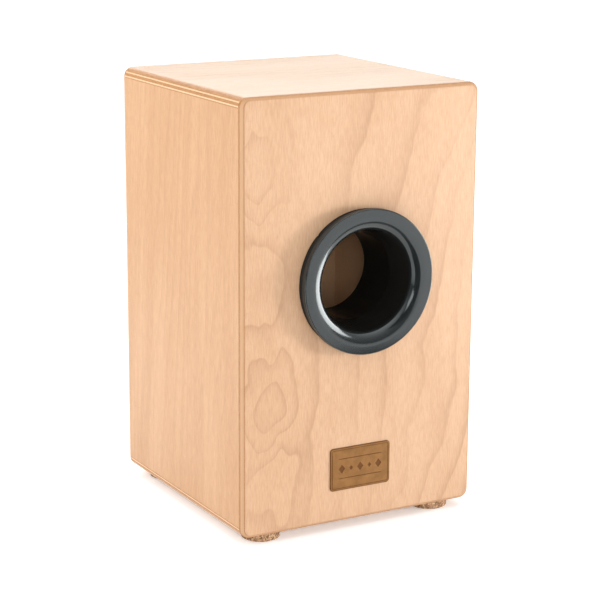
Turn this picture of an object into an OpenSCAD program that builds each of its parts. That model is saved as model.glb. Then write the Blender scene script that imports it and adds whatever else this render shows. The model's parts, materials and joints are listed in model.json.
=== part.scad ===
// Cajon: a box drum of plywood boards with a thin playing surface at the front, a plug-in bass
// tube in the sound hole of the back panel, and snare wires on a pivoting bar inside.
// Millimetres. +Z is up, +Y points to the playing surface, X runs across the width.
// The origin is on the floor, in the middle of the overall footprint.

/* [Box] */
// Width across the two side boards
box_w = 300; // [280:5:320]
// Depth from the back panel to the playing surface
box_d = 297; // [280:1:320]
// Height of the box without its feet
box_h = 490; // [450:5:500]
// Thickness of the side, top and bottom boards
board_t = 12; // [12:1:15]
// Thickness of the back panel
back_t = 8; // [6:1:10]
// Thickness of the playing surface
front_t = 3; // [3:0.5:4]
// Radius of the four long edges that run from back to front
edge_r = 11; // [6:1:12]
// Width of the triangular battens glued into the corners
batten_w = 14; // [10:1:20]
// Length of the batten's free end, which stays clear of the playing surface
batten_stop = 20; // [10:1:40]

/* [Feet] */
// Radius of a foot disc
foot_r = 22; // [15:1:25]
// Height of a foot disc
foot_h = 10; // [6:1:15]
// Chamfer round a foot's lower edge
foot_chamfer = 1; // [0.5:0.5:2]
// Distance of the feet from the middle of the box, across the width
foot_x = 112; // [90:1:115]
// Distance of the feet from the middle of the box, along the depth
foot_y = 120; // [90:1:122]

/* [Badge] */
// Width of the badge on the back panel
badge_w = 78; // [60:1:100]
// Height of the badge
badge_h = 50; // [35:1:60]
// Thickness of the badge
badge_t = 1.5; // [1:0.1:2]
// Corner radius of the badge
badge_r = 4; // [2:0.5:8]
// Width of the raised border round the badge
badge_border = 3; // [2:0.5:5]
// Depth of the field inside the border
badge_recess = 0.5; // [0.3:0.1:0.8]
// Height of the badge's middle above the underside of the box
badge_up = 63; // [40:1:90]

/* [Playing surface screws] */
// Screws along each side edge
side_screws = 5; // [3:1:8]
// Screws along the top edge, and along the bottom edge
end_screws = 3; // [1:1:5]
// Radius of a screw's countersunk head
head_r = 3.4; // [3:0.1:4]
// Depth of the countersunk head
head_h = 1.9; // [1.5:0.1:2.5]
// Radius of a screw's shank
shank_r = 1.75; // [1.5:0.05:2]
// Length of a screw
screw_len = 22; // [16:1:30]
// Distance of the end screws on a side edge from the top and bottom of the box
screw_inset = 45; // [30:1:80]

/* [Bass tube] */
// Height of the tube's axis above the underside of the box
tube_up = 279.5; // [200:0.5:340]
// Radius of the sound hole in the back panel
hole_r = 62; // [62:0.5:66]
// Outer radius of the rim
rim_r = 82; // [78:0.5:90]
// How far the rim's face stands proud of the back panel
rim_proud = 17; // [15:0.5:20]
// Thickness of the rim's flange
rim_t = 6.5; // [4:0.5:8]
// Radius of the round on the rim's outer edge
rim_round = 1.2; // [1:0.1:4]
// Radius where the flat rim turns into the flare
flare_r = 73; // [65:0.5:75]
// Radial reach of the curved flare
flare_in = 15.5; // [5:0.5:16]
// Axial reach of the curved flare
flare_deep = 10; // [8:0.5:14]
// Where the curved flare ends, as an angle round its quarter ellipse
flare_end = 80; // [60:1:80]
// Outer radius of the throat where it passes through the sound hole
stem_r = 59.8; // [59.6:0.1:60.4]
// Depth of the stem behind the back panel's rear face
stem_deep = 11; // [10:0.5:14]
// Inner radius of the pipe
bore_r = 50.5; // [45:0.5:51]
// Wall of the pipe and of the socket that holds it
pipe_wall = 2.8; // [2:0.1:3]
// Depth of the pipe's front end behind the rear face
pipe_start = 24; // [20:1:30]
// Depth of the pipe's far end behind the rear face
pipe_end = 80; // [60:1:140]
// Overlap of the socket on the pipe
socket_len = 12; // [8:1:16]
// Outer radius of the foam gasket under the rim
gasket_r = 80; // [76:0.5:82]
// Inner radius of the foam gasket
gasket_in = 64; // [63.5:0.5:68]
// Clearance of the grip ring in the sound hole
grip_gap = 0.3; // [0.3:0.05:0.5]
// Axial width of the grip ring
grip_w = 7; // [4:0.5:8]

/* [Snare] */
// Height of the bar's pivot above the underside of the box
bar_up = 320; // [305:5:325]
// Thickness and height of the bar
bar_w = 16; // [14:1:18]
// Chamfer on the bar's lower front edge
bar_chamfer = 4; // [4:0.5:6]
// Gap between each end of the bar and the side board
bar_gap = 1; // [0.5:0.5:2]
// Radius of the pivot pins
pin_r = 4; // [3:0.5:5]
// Clearance of a pivot pin in the bar, on the radius
pin_gap = 0.05; // [0.02:0.01:0.08]
// Length of a pin inside the side board
pin_in_side = 8; // [6:1:9]
// Length of a pin inside the bar
pin_in_bar = 11; // [8:1:16]
// Wires in each set
wire_count = 20; // [10:1:22]
// Radius of a coiled wire
wire_r = 1; // [0.8:0.1:1.2]
// Spacing of the wires
wire_pitch = 3.4; // [3:0.1:3.5]
// Length of a wire from the bar's middle to its tip
wire_len = 95; // [70:1:110]
// Gap between the wires and the playing surface
wire_gap = 0.4; // [0.3:0.1:1]
// Distance of each set's middle from the middle of the bar
wires_x = 58; // [45:1:70]
// Width of the plate that holds a set of wires
strip_w = 74; // [70:1:80]
// Height of the plate
strip_h = 12; // [10:1:14]
// Thickness of the plate
strip_t = 1.2; // [1:0.1:1.5]
// Distance of a plate's screws from the plate's middle
strip_screw_x = 30; // [20:1:33]

/* [Hidden] */
$fn = 96;
rear_y = -(box_d + rim_proud) / 2 + rim_proud;
front_y = rear_y + box_d;
mid_y = (rear_y + front_y) / 2;
frame_y = rear_y + back_t;
frame_d = box_d - back_t - front_t;
skin_y = front_y - front_t;
hole_z = foot_h + tube_up;

pipe_r = bore_r + pipe_wall;
socket_r = pipe_r + pipe_wall;
rim_back = rim_proud - rim_t;
flare_steps = 10;
throat_top = rim_back - 3;
throat_r = gasket_in - 2;
stem_top = 3;

strip_overlap = 0.2;
wire_y = skin_y - wire_gap - wire_r;
strip_y = wire_y - wire_r + strip_overlap - strip_t;
bar_y = strip_y - bar_w / 2;
bar_z = foot_h + bar_up;
bar_len = box_w - 2 * board_t - 2 * bar_gap;
strip_head_r = 2.4;
strip_head_h = 0.9;
strip_shank_r = 1.25;
strip_screw_len = 10;
strip_screw_z = -3;

wood = "BurlyWood";
pale_wood = "Wheat";
batten_wood = "Tan";
badge_brown = "#a9743a";
screw_steel = "DarkSlateGray";
cork = "RosyBrown";
rim_grey = "DimGray";
foam_black = [0.07, 0.07, 0.07];
pipe_black = [0.03, 0.03, 0.03];
bright_steel = "Silver";

// Rectangle with four round corners, centred on the origin
module rounded_outline(w, h, r) {
    square([w - 2 * r, h], center = true);
    square([w, h - 2 * r], center = true);
    for (sx = [-1, 1], sz = [-1, 1])
        translate([sx * (w / 2 - r), sz * (h / 2 - r)])
            circle(r);
}

// The box's front view, whose corners are the four rounded long edges
module box_outline() {
    rounded_outline(box_w, box_h, edge_r);
}

// Stands a flat outline upright at the height of the box and gives it a thickness towards +Y
module upright(y, thickness) {
    translate([0, y + thickness, foot_h + box_h / 2])
        rotate([90, 0, 0])
            linear_extrude(thickness)
                children();
}

// The tube's axis: +Z of the children points out of the back panel, from its rear face
module on_tube_axis() {
    translate([0, rear_y, hole_z])
        rotate([90, 0, 0])
            children();
}

// A ring between two radii and two depths on the tube's axis
module ring(inner_r, outer_r, low, high) {
    translate([0, 0, low])
        difference() {
            cylinder(h = high - low, r = outer_r);
            translate([0, 0, -1])
                cylinder(h = high - low + 2, r = inner_r);
        }
}

// A countersunk screw with its head's face at the origin and its tip down -Z
module screw(head, head_depth, shank, length) {
    rotate_extrude()
        polygon([
            [0, 0], [head, 0], [shank, -head_depth], [shank, -length + shank], [0, -length]
        ]);
}

// Every screw of the playing surface, heads flush with its face
module front_screw_set() {
    edge_x = (box_w - board_t) / 2;
    edge_z = (box_h - board_t) / 2;
    side_step = (box_h - 2 * screw_inset) / (side_screws - 1);
    end_step = box_w / (end_screws + 1);
    side_places = [
        for (s = [-1, 1], i = [0 : side_screws - 1])
            [s * edge_x, -box_h / 2 + screw_inset + i * side_step]
    ];
    end_places = [
        for (s = [-1, 1], i = [1 : end_screws])
            [-box_w / 2 + i * end_step, s * edge_z]
    ];
    for (p = concat(side_places, end_places))
        translate([p[0], front_y, foot_h + box_h / 2 + p[1]])
            rotate([-90, 0, 0])
                screw(head_r, head_h, shank_r, screw_len);
}

// A side board: s is -1 on the left and 1 on the right
module side(s) {
    color(wood)
        difference() {
            translate([s > 0 ? box_w / 2 - board_t : -box_w / 2, frame_y, foot_h + board_t])
                cube([board_t, frame_d, box_h - 2 * board_t]);
            front_screw_set();
            snare_pin_body(s);
        }
}

// A board with two rounded long edges: s is 1 for the top and -1 for the bottom
module end_board(s) {
    color(pale_wood)
        difference() {
            upright(frame_y, frame_d)
                intersection() {
                    box_outline();
                    translate([0, s * (box_h - board_t) / 2])
                        square([box_w, board_t], center = true);
                }
            front_screw_set();
        }
}

module left_side() {
    side(-1);
}

module right_side() {
    side(1);
}

module top_board() {
    end_board(1);
}

module bottom_board() {
    end_board(-1);
}

module back_panel() {
    color(wood)
        difference() {
            upright(rear_y, back_t)
                box_outline();
            on_tube_axis()
                translate([0, 0, -back_t - 1])
                    cylinder(h = back_t + 2, r = hole_r);
        }
}

module playing_surface() {
    color(pale_wood)
        difference() {
            upright(skin_y, front_t)
                box_outline();
            front_screw_set();
        }
}

module front_screws() {
    color(screw_steel)
        front_screw_set();
}

// A triangular batten in a corner of the box: sx and sz pick the corner
module batten(sx, sz) {
    corner_x = sx * (box_w / 2 - board_t);
    corner_z = sz * (box_h / 2 - board_t);
    color(batten_wood)
        upright(frame_y, frame_d - batten_stop)
            polygon([
                [corner_x, corner_z],
                [corner_x - sx * batten_w, corner_z],
                [corner_x, corner_z - sz * batten_w]
            ]);
}

module top_left_batten() {
    batten(-1, 1);
}

module top_right_batten() {
    batten(1, 1);
}

module bottom_left_batten() {
    batten(-1, -1);
}

module bottom_right_batten() {
    batten(1, -1);
}

module badge() {
    color(badge_brown)
        translate([0, rear_y, foot_h + badge_up])
            rotate([90, 0, 0])
                difference() {
                    linear_extrude(badge_t)
                        rounded_outline(badge_w, badge_h, badge_r);
                    translate([0, 0, badge_t - badge_recess])
                        linear_extrude(badge_t)
                            rounded_outline(
                                badge_w - 2 * badge_border,
                                badge_h - 2 * badge_border,
                                badge_r / 2
                            );
                }
}

// A foot disc: sx is -1 on the left, sy is 1 at the front
module foot(sx, sy) {
    color(cork)
        translate([sx * foot_x, mid_y + sy * foot_y, 0])
            rotate_extrude()
                polygon([
                    [0, 0], [foot_r - foot_chamfer, 0], [foot_r, foot_chamfer],
                    [foot_r, foot_h], [0, foot_h]
                ]);
}

module foot_front_left() {
    foot(-1, 1);
}

module foot_front_right() {
    foot(1, 1);
}

module foot_rear_left() {
    foot(-1, -1);
}

module foot_rear_right() {
    foot(1, -1);
}

// Radius of the throat's cone at a height on the tube's axis
function cone_r(h) =
    let (top_r = flare_r - flare_in * sin(flare_end))
    let (top_h = rim_proud - flare_deep * (1 - cos(flare_end)))
        bore_r + (top_r - bore_r) * (h + pipe_start) / (top_h + pipe_start);

// The rim: a flat ring with a rounded outer edge, whose inside curves into the flare
module tube_rim() {
    flare = [
        for (i = [0 : flare_steps])
            let (a = flare_end * i / flare_steps)
                [flare_r - flare_in * sin(a), rim_proud - flare_deep * (1 - cos(a))]
    ];
    seat = [
        [cone_r(throat_top), throat_top], [throat_r, throat_top],
        [gasket_in - 1, rim_back], [rim_r, rim_back]
    ];
    outer_edge = [
        for (i = [0 : flare_steps])
            let (a = 90 * i / flare_steps)
                [
                    rim_r - rim_round * (1 - cos(a)),
                    rim_proud - rim_round * (1 - sin(a))
                ]
    ];
    color(rim_grey)
        on_tube_axis()
            rotate_extrude()
                polygon(concat(flare, seat, outer_edge));
}

// The throat: a cone down to the pipe's bore, the stem in the sound hole and the pipe's socket
module tube_throat() {
    color(pipe_black)
        on_tube_axis()
            rotate_extrude()
                polygon([
                    [cone_r(throat_top), throat_top],
                    [bore_r, -pipe_start], [pipe_r, -pipe_start],
                    [pipe_r, -pipe_start - socket_len], [socket_r, -pipe_start - socket_len],
                    [socket_r, -stem_deep - 4], [stem_r, -stem_deep], [stem_r, stem_top],
                    [throat_r, throat_top]
                ]);
}

module tube_pipe() {
    color(pipe_black)
        on_tube_axis()
            ring(bore_r, pipe_r, -pipe_end, -pipe_start);
}

module tube_gasket() {
    color(foam_black)
        on_tube_axis()
            ring(gasket_in, gasket_r, 0, rim_back);
}

module tube_grip_ring() {
    color(foam_black)
        on_tube_axis()
            ring(stem_r, hole_r - grip_gap, -grip_w - 1, -1);
}

// Places the children on the bar's pivot axis
module on_bar() {
    translate([0, bar_y, bar_z])
        children();
}

// The pivot pin on one side: s is -1 on the left and 1 on the right
module snare_pin_body(s) {
    inner_face = box_w / 2 - board_t;
    pin_len = pin_in_side + bar_gap + pin_in_bar;
    pin_mid = inner_face + pin_in_side - pin_len / 2;
    on_bar()
        translate([s * pin_mid, 0, 0])
            rotate([0, 90, 0])
                cylinder(h = pin_len, r = pin_r, center = true);
}

module snare_pin_left() {
    color(batten_wood)
        snare_pin_body(-1);
}

module snare_pin_right() {
    color(batten_wood)
        snare_pin_body(1);
}

// The four screws that hold the two wire plates on the bar
module strip_screw_set() {
    on_bar()
        for (s = [-1, 1], e = [-1, 1])
            translate([
                s * wires_x + e * strip_screw_x,
                bar_w / 2 + strip_t + strip_head_h,
                strip_screw_z
            ])
                rotate([-90, 0, 0])
                    rotate_extrude()
                        polygon([
                            [0, 0], [strip_head_r * 0.8, 0], [strip_head_r, -strip_head_h / 2],
                            [strip_head_r, -strip_head_h], [strip_shank_r, -strip_head_h],
                            [strip_shank_r, -strip_screw_len + strip_shank_r],
                            [0, -strip_screw_len]
                        ]);
}

module snare_bar() {
    half = bar_w / 2;
    bore_len = pin_in_bar + 1;
    color(batten_wood)
        difference() {
            on_bar()
                rotate([90, 0, 90])
                    linear_extrude(bar_len, center = true)
                        polygon([
                            [-half, -half], [half - bar_chamfer, -half],
                            [half, -half + bar_chamfer], [half, half], [-half, half]
                        ]);
            on_bar()
                for (s = [-1, 1])
                    translate([s * (bar_len / 2 - bore_len / 2 + 0.5), 0, 0])
                        rotate([0, 90, 0])
                            cylinder(h = bore_len + 1, r = pin_r + pin_gap, center = true);
            strip_screw_set();
        }
}

// The plate of one wire set: s is -1 on the left and 1 on the right
module snare_strip(s) {
    color(bright_steel)
        difference() {
            on_bar()
                translate([s * wires_x - strip_w / 2, bar_w / 2, -strip_h / 2])
                    cube([strip_w, strip_t, strip_h]);
            strip_screw_set();
        }
}

module snare_strip_left() {
    snare_strip(-1);
}

module snare_strip_right() {
    snare_strip(1);
}

// One set of coiled wires, each drawn as a rod of the coil's outer diameter
module snare_wires(s) {
    color(bright_steel)
        for (i = [0 : wire_count - 1])
            translate([
                s * wires_x + (i - (wire_count - 1) / 2) * wire_pitch,
                wire_y,
                bar_z + 1
            ])
                cylinder(h = wire_len - 1, r = wire_r, $fn = 24);
}

module snare_wires_left() {
    snare_wires(-1);
}

module snare_wires_right() {
    snare_wires(1);
}

module snare_strip_screws() {
    color(screw_steel)
        strip_screw_set();
}

left_side();
right_side();
top_board();
bottom_board();
back_panel();
playing_surface();
front_screws();
top_left_batten();
top_right_batten();
bottom_left_batten();
bottom_right_batten();
badge();
foot_front_left();
foot_front_right();
foot_rear_left();
foot_rear_right();
tube_rim();
tube_throat();
tube_pipe();
tube_gasket();
tube_grip_ring();
snare_bar();
snare_pin_left();
snare_pin_right();
snare_strip_left();
snare_strip_right();
snare_wires_left();
snare_wires_right();
snare_strip_screws();
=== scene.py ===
import json
import math

import bmesh
import bpy
from mathutils import Matrix, Vector


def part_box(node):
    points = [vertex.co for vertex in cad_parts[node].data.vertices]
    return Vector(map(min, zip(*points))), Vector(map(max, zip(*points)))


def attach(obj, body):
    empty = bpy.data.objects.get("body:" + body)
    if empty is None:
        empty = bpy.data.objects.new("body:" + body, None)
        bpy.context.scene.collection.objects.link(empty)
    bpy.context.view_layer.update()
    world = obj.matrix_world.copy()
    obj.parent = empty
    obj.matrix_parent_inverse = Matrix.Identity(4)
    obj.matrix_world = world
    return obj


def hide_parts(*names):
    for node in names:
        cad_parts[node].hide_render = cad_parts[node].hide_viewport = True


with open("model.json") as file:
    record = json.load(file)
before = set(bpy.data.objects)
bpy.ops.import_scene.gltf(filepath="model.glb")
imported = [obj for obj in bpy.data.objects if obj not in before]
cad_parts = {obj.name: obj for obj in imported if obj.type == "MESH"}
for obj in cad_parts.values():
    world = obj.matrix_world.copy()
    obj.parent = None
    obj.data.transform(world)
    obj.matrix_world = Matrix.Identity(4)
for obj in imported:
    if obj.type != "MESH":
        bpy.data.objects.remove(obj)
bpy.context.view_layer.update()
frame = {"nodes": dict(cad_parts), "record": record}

MM = 0.001

# Places and sizes read from the frame
BACK_LOW, BACK_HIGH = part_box("back_panel")
FRONT_LOW, FRONT_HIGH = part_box("playing_surface")
TOP_LOW, TOP_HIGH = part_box("top_board")
BOTTOM_LOW, BOTTOM_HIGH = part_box("bottom_board")
RIM_LOW, RIM_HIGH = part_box("tube_rim")
THROAT_LOW, THROAT_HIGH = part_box("tube_throat")
PIPE_LOW, PIPE_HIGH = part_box("tube_pipe")
GASKET_LOW, GASKET_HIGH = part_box("tube_gasket")
BADGE_LOW, BADGE_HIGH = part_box("badge")
REAR_Y = BACK_LOW.y
BOX_W = BACK_HIGH.x - BACK_LOW.x
BOX_LOW_Z, BOX_HIGH_Z = BACK_LOW.z, BACK_HIGH.z
TUBE_Z = (GASKET_LOW.z + GASKET_HIGH.z) / 2
RIM_R = (RIM_HIGH.x - RIM_LOW.x) / 2
GASKET_R = (GASKET_HIGH.x - GASKET_LOW.x) / 2
BORE = next(m for m in frame["record"]["mounts"] if m["name"] == "tube_bore")
BORE_R = BORE["dims"]["r_mm"] * MM

# Sizes that the frame doesn't state
EDGE_R = 11 * MM
HOLE_R = 62 * MM
EDGE_ROUND = 5 * MM
JOINT_BEVEL = 0.12 * MM
RIM_ROUND = 1.2 * MM
FLARE_R = 73 * MM
FLARE_IN = 15.5 * MM
FLARE_DEEP = 10 * MM
FLARE_END = math.radians(80)
HOLE_LIP = 0.8 * MM
FRONT_ROUND = 0.9 * MM
GASKET_IN = 64 * MM
GASKET_ROUND = 0.7 * MM
STEM_R = 59.8 * MM
PIPE_WALL = 2.8 * MM
OUTLINE_STEP = 9 * MM
TURN = 2 * math.pi


# ---------------------------------------------------------------- node trees

class Graph:
    """A material's node tree, with one short call per node."""

    def __init__(self, name):
        self.material = bpy.data.materials.new(name)
        self.material.use_nodes = True
        self.tree = self.material.node_tree
        self.tree.nodes.clear()

    def node(self, kind, inputs=None, **settings):
        made = self.tree.nodes.new("ShaderNode" + kind)
        for key, value in settings.items():
            setattr(made, key, value)
        for key, value in (inputs or {}).items():
            self.feed(made.inputs[key], value)
        return made

    def feed(self, socket, value):
        if isinstance(value, bpy.types.NodeSocket):
            self.tree.links.new(value, socket)
        else:
            socket.default_value = value

    def math(self, operation, a, b=0.0, c=0.0, clamp=False):
        made = self.node("Math", {0: a, 1: b, 2: c}, operation=operation, use_clamp=clamp)
        return made.outputs[0]

    def steps(self, value, low, high, start=0.0, end=1.0):
        """Smooth change from start to end as value goes from low to high."""
        inputs = {0: value, 1: low, 2: high, 3: start, 4: end}
        return self.node("MapRange", inputs, interpolation_type="SMOOTHSTEP").outputs[0]

    def spot(self):
        """The place on the object, in metres."""
        return self.node("TexCoord").outputs["Object"]

    def split(self, vector):
        return self.node("SeparateXYZ", {0: vector}).outputs

    def axes(self):
        return self.split(self.spot())

    def point(self, x, y, z):
        return self.node("CombineXYZ", {0: x, 1: y, 2: z}).outputs[0]

    def scaled(self, triple, scales):
        """The point made of three coordinates, each times its own scale."""
        return self.point(*[self.math("MULTIPLY", a, s) for a, s in zip(triple, scales)])

    def noise(self, vector, scale=1.0, detail=2.0, rough=0.5, distort=0.0):
        inputs = {
            "Vector": vector, "Scale": scale, "Detail": detail,
            "Roughness": rough, "Distortion": distort,
        }
        return self.node("TexNoise", inputs).outputs[0]

    def cells(self, vector, scale, feature="F1", output="Distance"):
        made = self.node("TexVoronoi", {"Vector": vector, "Scale": scale}, feature=feature)
        return made.outputs[output]

    def mix(self, factor, a, b, blend="MIX"):
        made = self.node("Mix", data_type="RGBA", blend_type=blend, clamp_factor=True)
        for key, value in ((0, factor), (6, a), (7, b)):
            self.feed(made.inputs[key], value)
        return made.outputs[2]

    def ramp(self, factor, stops):
        made = self.node("ValToRGB", {0: factor})
        marks = made.color_ramp.elements
        while len(marks) < len(stops):
            marks.new(1.0)
        for mark, (place, colour) in zip(marks, stops):
            mark.position = place
            mark.color = colour
        return made.outputs[0]

    def bump(self, height, distance, strength):
        inputs = {"Height": height, "Distance": distance, "Strength": strength}
        return self.node("Bump", inputs).outputs[0]

    def surface(self, **sockets):
        """The Principled shader. A socket's name is given with underscores for its spaces."""
        inputs = {key.replace("_", " "): value for key, value in sockets.items()}
        shader = self.node("BsdfPrincipled", inputs)
        output = self.node("OutputMaterial")
        self.tree.links.new(shader.outputs[0], output.inputs[0])
        return self.material


def rgb(red, green, blue):
    return (red, green, blue, 1.0)


# ---------------------------------------------------------------- materials

# Beech: its face, the lines and flecks on it, its cut ends, the glue between plies, and painted
# shade for the gaps between them
FACE_PALE = rgb(0.845, 0.523, 0.306)
FACE_DEEP = rgb(0.742, 0.43, 0.237)
RING_LINE = rgb(0.44, 0.205, 0.092)
FLECK = rgb(0.38, 0.18, 0.085)
END_PALE = rgb(0.56, 0.285, 0.12)
END_DEEP = rgb(0.32, 0.14, 0.048)
GLUE = rgb(0.30, 0.125, 0.045)
GAP_SHADE = rgb(0.09, 0.032, 0.012)
EDGE_PALE = (0.98, 0.64, 0.38)
EDGE_BROWN = (0.72, 0.43, 0.235)
WARM = (0.90, 0.855, 0.80)

# The peeled figure: a soft ridge along the grain, and the islands on it
RIDGE_X = -0.122
RIDGE_SOFT = 0.016
RIDGE_W = 0.034
ISLAND_PITCH = 0.25
ISLAND_Z = 0.172
ISLAND_DEPTH = 1.7
LINES_PER_M = 31.0
STRAIGHT_LINES_PER_M = 62.0

# Depths of the glue lines, from the outer face
BACK_PLIES = [0.3 * MM, 0.6 * MM, 4.3 * MM, 7.9 * MM]
BOARD_PLIES = [0.24 * MM, 0.28 * MM, 4.6 * MM, 6.1 * MM, 9.2 * MM, 10.8 * MM]
SIDE_PLIES = [2.4 * MM, 4.8 * MM, 7.2 * MM, 9.6 * MM]
FRONT_PLIES = [1.0 * MM, 2.0 * MM]
PLY_BLEND = 0.04 * MM
GLUE_CORE = 0.06 * MM
GLUE_REACH = 0.2 * MM


def rotary_figure(g, u, v):
    """The wide wandering rings of a peeled veneer, counted outwards from a ridge at the left.

    Along the ridge they close into a row of islands. On the other side they are long leaning lines.
    """
    bend = g.noise(g.scaled((u, v, 0.7), (6.0, 5.5, 1.0)), 1.0, 2.0, 0.5)
    slide = g.noise(g.scaled((u, v, 4.2), (16.0, 9.0, 1.0)), 1.0, 2.0, 0.5)
    from_ridge = g.math("SUBTRACT", u, RIDGE_X)
    from_ridge = g.math("MULTIPLY_ADD", g.math("SUBTRACT", bend, 0.5), 0.085, from_ridge)
    height = g.math("MULTIPLY_ADD", g.math("SUBTRACT", slide, 0.5), 0.13, v)
    wander = g.noise(g.scaled((u, v, 0.0), (7.0, 2.2, 1.0)), 1.0, 1.0, 0.4)
    ripple = g.noise(g.scaled((u, v, 0.3), (38.0, 15.0, 1.0)), 1.0, 2.0, 0.5)

    apart = g.math("MULTIPLY_ADD", from_ridge, from_ridge, RIDGE_SOFT ** 2)
    apart = g.math("POWER", apart, 0.5)
    near = g.math("MULTIPLY", from_ridge, 1 / RIDGE_W)
    near = g.math("MULTIPLY", near, near)
    near = g.math("EXPONENT", g.math("MULTIPLY", near, -1.0))
    turns = g.math("MULTIPLY_ADD", height, TURN / ISLAND_PITCH, -TURN * ISLAND_Z / ISLAND_PITCH)
    islands = g.math("MULTIPLY", near, g.math("COSINE", turns))
    islands = g.math("MULTIPLY", islands, -ISLAND_DEPTH)
    lean = g.math("MULTIPLY", g.steps(from_ridge, 0.0, 0.26, 0.0, 8.5), v)

    rings = g.math("MULTIPLY_ADD", apart, LINES_PER_M, islands)
    rings = g.math("MULTIPLY_ADD", ripple, 0.45, g.math("SUBTRACT", rings, lean))
    return g.math("MULTIPLY_ADD", wander, 3.2, rings)


def straight_figure(g, u, v):
    """Nearly straight rings that lean a little to one side, as in a veneer cut along the radius."""
    lean = g.math("MULTIPLY_ADD", v, 0.08, u)
    drift = g.noise(g.scaled((u, v, 0.0), (9.0, 1.3, 1.0)), 1.0, 2.0, 0.5)
    return g.math("MULTIPLY_ADD", lean, STRAIGHT_LINES_PER_M, g.math("MULTIPLY", drift, 8.0))


def ply_layers(g, depth, plies):
    """Masks of the plies laid crosswise, of all glue lines, and of the innermost glue line."""
    crosswise = 0.0
    glue = 0.0
    lines = []
    for index, joint in enumerate(plies):
        step = g.steps(depth, joint - PLY_BLEND, joint + PLY_BLEND)
        crosswise = g.math("ADD" if index % 2 == 0 else "SUBTRACT", crosswise, step)
        apart = g.math("ABSOLUTE", g.math("SUBTRACT", depth, joint))
        lines.append(g.steps(apart, GLUE_CORE, GLUE_REACH, 1.0, 0.0))
        glue = g.math("MAXIMUM", glue, lines[-1])
    return g.math("ADD", crosswise, 0.0, clamp=True), glue, lines[-1]


def growth_rings(g, u, v, figure, seed):
    """A mask of dark late-wood lines that rise slowly and end at once. Some stretches fade."""
    turn = g.math("FRACT", g.math("ADD", figure(g, u, v), seed))
    late = g.math("POWER", turn, 4.0)
    late = g.math("MULTIPLY", late, g.steps(turn, 0.93, 1.0, 1.0, 0.0))
    strength = g.noise(g.scaled((u, v, seed), (11.0, 3.0, 1.0)), 1.0, 1.0)
    return g.math("MULTIPLY", late, g.steps(strength, 0.3, 0.68, 0.25, 1.0))


def ray_flecks(g, u, v, seed):
    """A mask of short dashes along the grain, crowded in some places and rare in others."""
    dashes = g.noise(g.scaled((u, v, seed + 3.0), (1150.0, 260.0, 1.0)), 1.0, 1.0, 0.5)
    crowd = g.noise(g.scaled((u, v, seed + 5.0), (30.0, 12.0, 1.0)), 1.0, 1.0)
    return g.steps(dashes, g.math("MULTIPLY_ADD", crowd, -0.16, 0.74), 0.74)


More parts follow.
